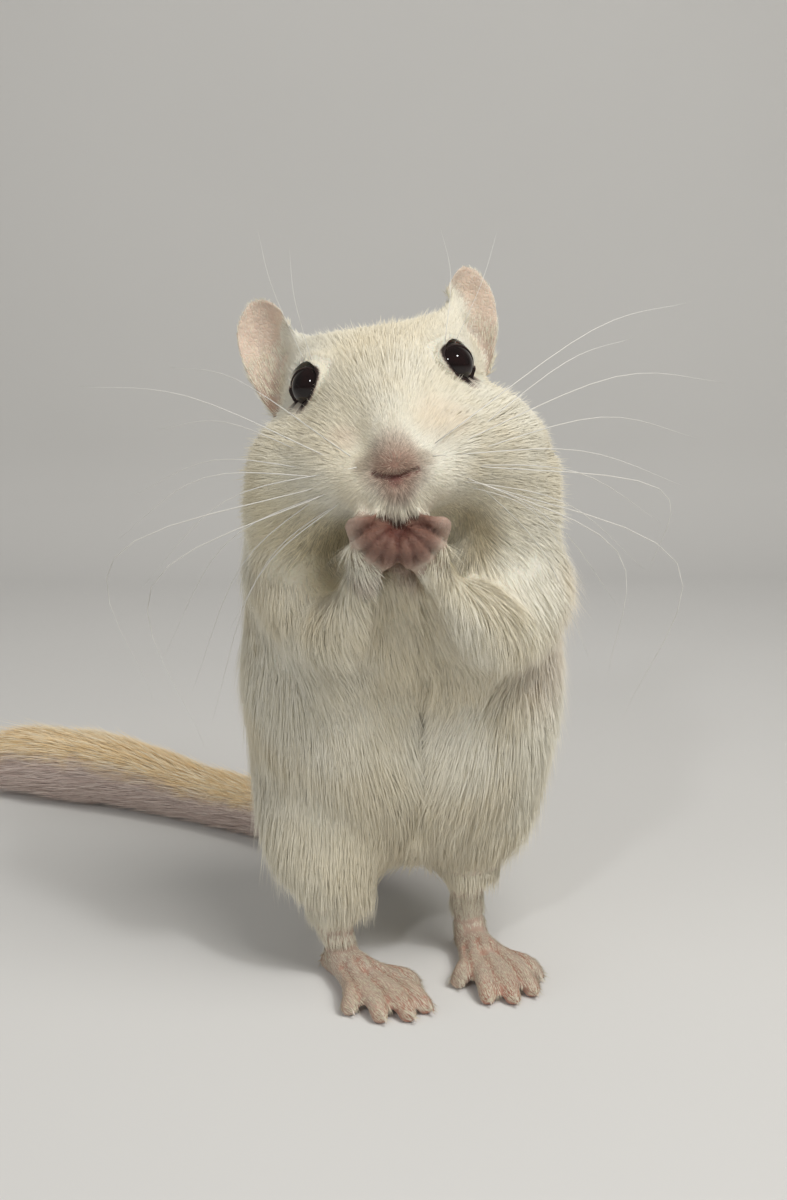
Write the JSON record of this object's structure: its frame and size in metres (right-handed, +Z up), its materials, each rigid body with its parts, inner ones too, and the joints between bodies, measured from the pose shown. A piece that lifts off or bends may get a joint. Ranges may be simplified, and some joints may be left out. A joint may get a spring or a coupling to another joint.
{
  "type": "gerbil",
  "caption": "Life-size pale Mongolian gerbil, upright on its hind feet with both hands held to its mouth and its tail along the floor.",
  "frame": {"origin": "on the floor, under the middle of the animal's box, whiskers and tail included", "axes": "+Z up; the animal faces -Y, so its own left side is +X; X is the longest extent, as the tail runs out to its right"},
  "size_m": [0.1382, 0.1242, 0.1023],
  "materials": {
    "cream_coat": "soft cream-white fur",
    "golden_coat": "golden fur with a paler underside",
    "bare_skin": "pink skin with a thin down",
    "dark_eye": "wet gloss, ruby black"
  },
  "bodies": {
    "root": {"torso": "cream_coat", "neck": "cream_coat", "head": "cream_coat", "muzzle": "cream_coat", "upper_arm_left": "cream_coat", "upper_arm_right": "cream_coat", "forearm_left": "cream_coat", "forearm_right": "cream_coat", "thigh_left": "cream_coat", "thigh_right": "cream_coat", "shank_left": "cream_coat", "shank_right": "cream_coat", "ear_left": "bare_skin", "ear_right": "bare_skin", "hand_left": "bare_skin", "hand_right": "bare_skin", "foot_left": "bare_skin", "foot_right": "bare_skin", "eye_left": "dark_eye", "eye_right": "dark_eye", "tail_root": "golden_coat", "tail_middle": "golden_coat", "tail_far": "golden_coat", "tail_tuft": "golden_coat"}
  },
  "joints": []
}
